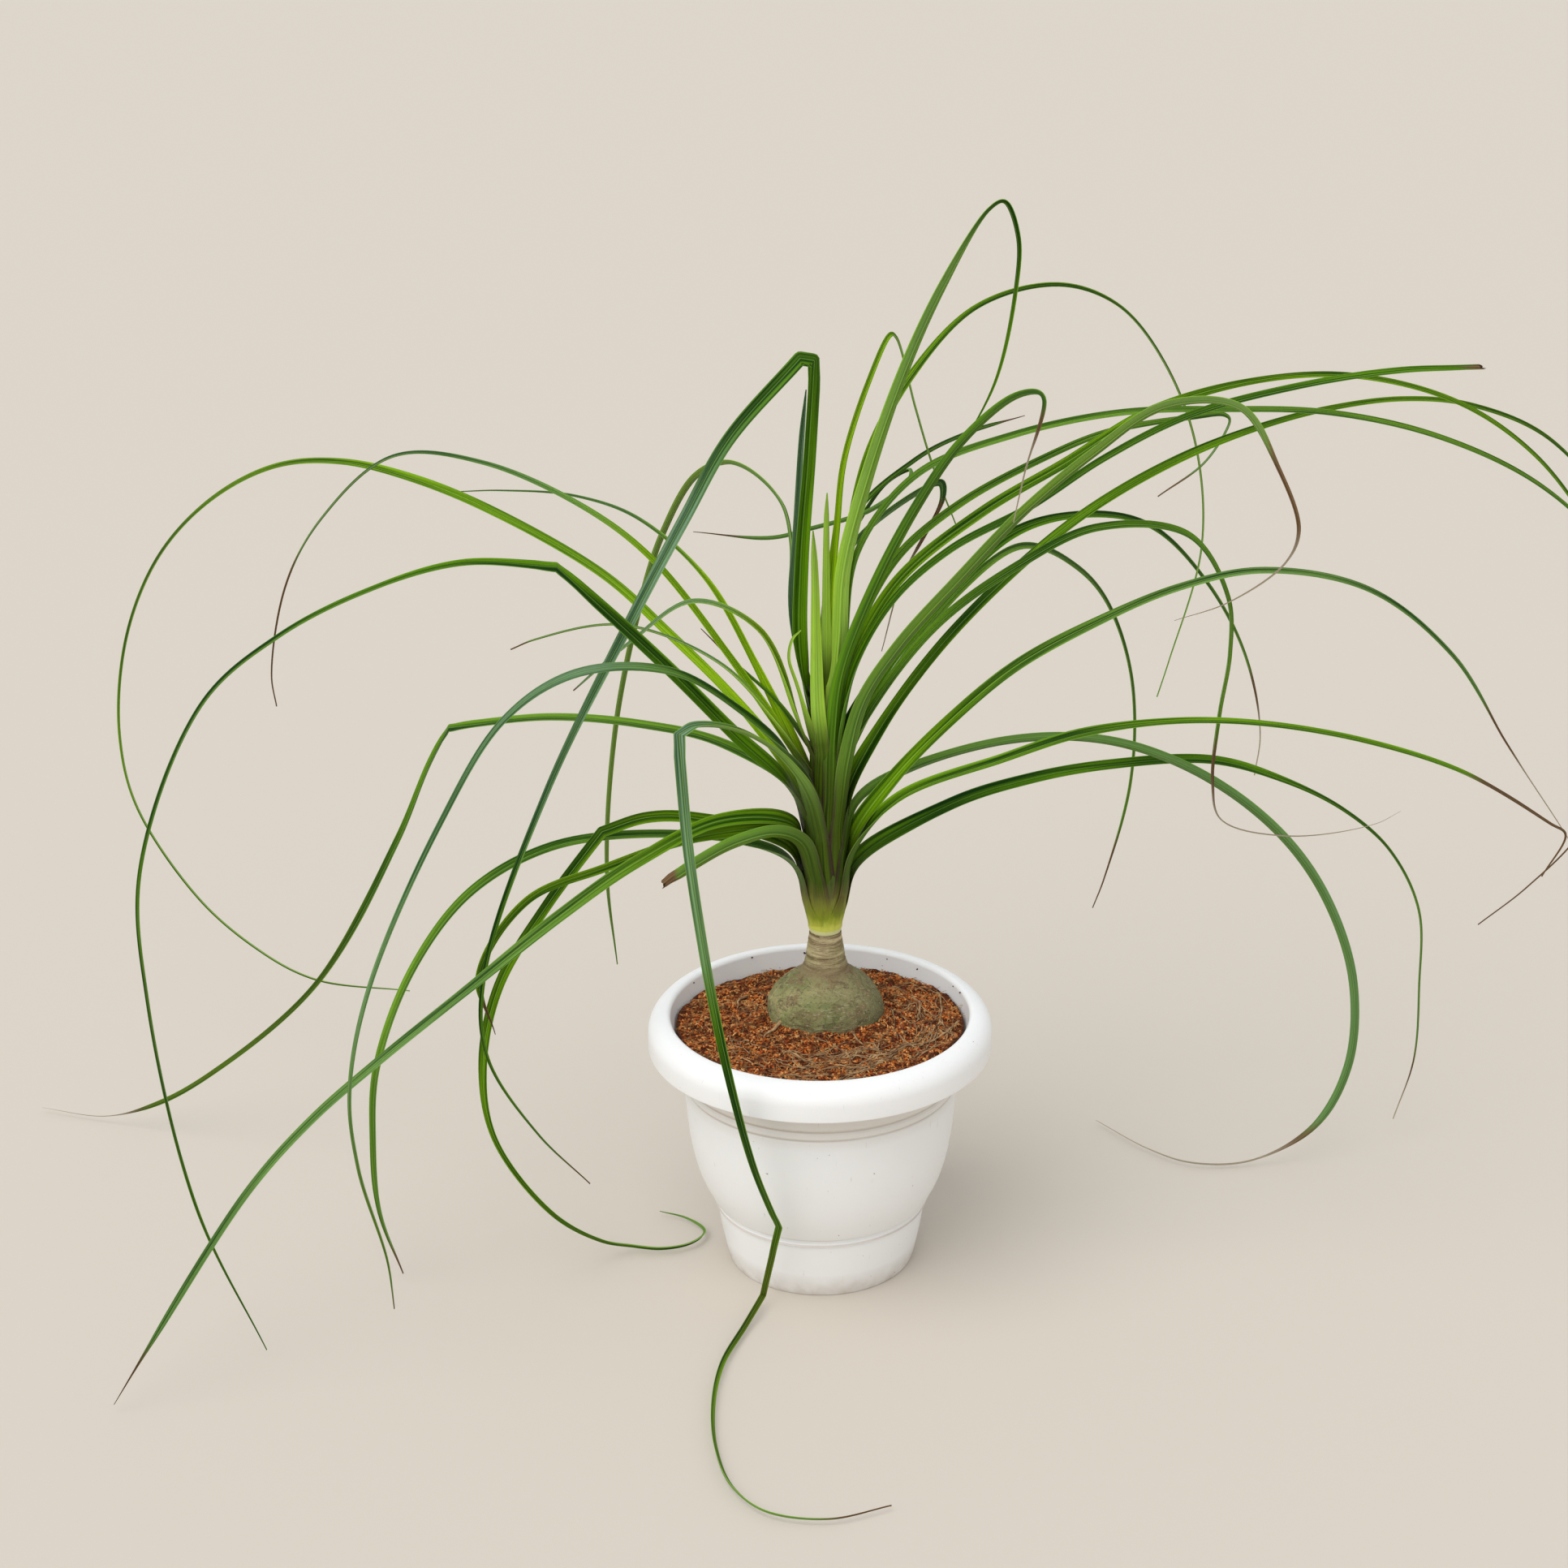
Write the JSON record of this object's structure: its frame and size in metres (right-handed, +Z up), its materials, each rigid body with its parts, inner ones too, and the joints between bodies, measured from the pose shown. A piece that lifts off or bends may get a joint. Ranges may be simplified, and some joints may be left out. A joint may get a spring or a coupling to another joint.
{
  "type": "potted ponytail palm",
  "caption": "Young ponytail palm with long arching strap leaves and a swollen grey base, growing in coir in a round white plastic pot with a rolled rim.",
  "frame": {"origin": "centre of the pot's flat bottom, on the surface that the pot stands on", "axes": "+Z up, +X to the right of the pictured view, +Y away from the viewer"},
  "size_m": [1.0597, 0.6061, 0.6526],
  "materials": {
    "pot": "semi-gloss white, slightly cream",
    "soil": "loose orange-brown coir chips and fibres",
    "trunk": "grey-green cracked bark below a tan ringed trunk",
    "crown": "yellow-green leaf sheaths, purple-brown at their edges",
    "leaf_dark": "satin dark green with fine lengthwise veins",
    "leaf_mid": "satin mid green with fine lengthwise veins",
    "leaf_bright": "satin yellow-green with pale stripes",
    "leaf_blue": "waxy blue-green underside"
  },
  "bodies": {
    "root": {"pot": "pot", "soil": "soil", "trunk": "trunk", "crown": "crown", "leaf_01": "leaf_blue", "leaf_02": "leaf_dark", "leaf_03": "leaf_mid", "leaf_04": "leaf_mid", "leaf_05": "leaf_mid", "leaf_06": "leaf_mid", "leaf_07": "leaf_mid", "leaf_08": "leaf_mid", "leaf_09": "leaf_dark", "leaf_10": "leaf_blue", "leaf_11": "leaf_mid", "leaf_12": "leaf_dark", "leaf_13": "leaf_mid", "leaf_14": "leaf_mid", "leaf_15": "leaf_blue", "leaf_16": "leaf_blue", "leaf_17": "leaf_bright", "leaf_18": "leaf_dark", "leaf_19": "leaf_dark", "leaf_20": "leaf_bright", "leaf_21": "leaf_blue", "leaf_22": "leaf_bright", "leaf_23": "leaf_bright", "leaf_24": "leaf_dark", "leaf_25": "leaf_dark", "leaf_26": "leaf_bright", "leaf_27": "leaf_mid", "leaf_28": "leaf_blue", "leaf_29": "leaf_blue", "leaf_30": "leaf_mid", "leaf_31": "leaf_dark", "leaf_32": "leaf_mid", "leaf_33": "leaf_blue", "leaf_34": "leaf_bright", "leaf_35": "leaf_bright", "leaf_36": "leaf_bright", "leaf_37": "leaf_bright", "leaf_38": "leaf_blue", "leaf_39": "leaf_dark", "leaf_40": "leaf_bright", "leaf_41": "leaf_bright"}
  },
  "joints": []
}
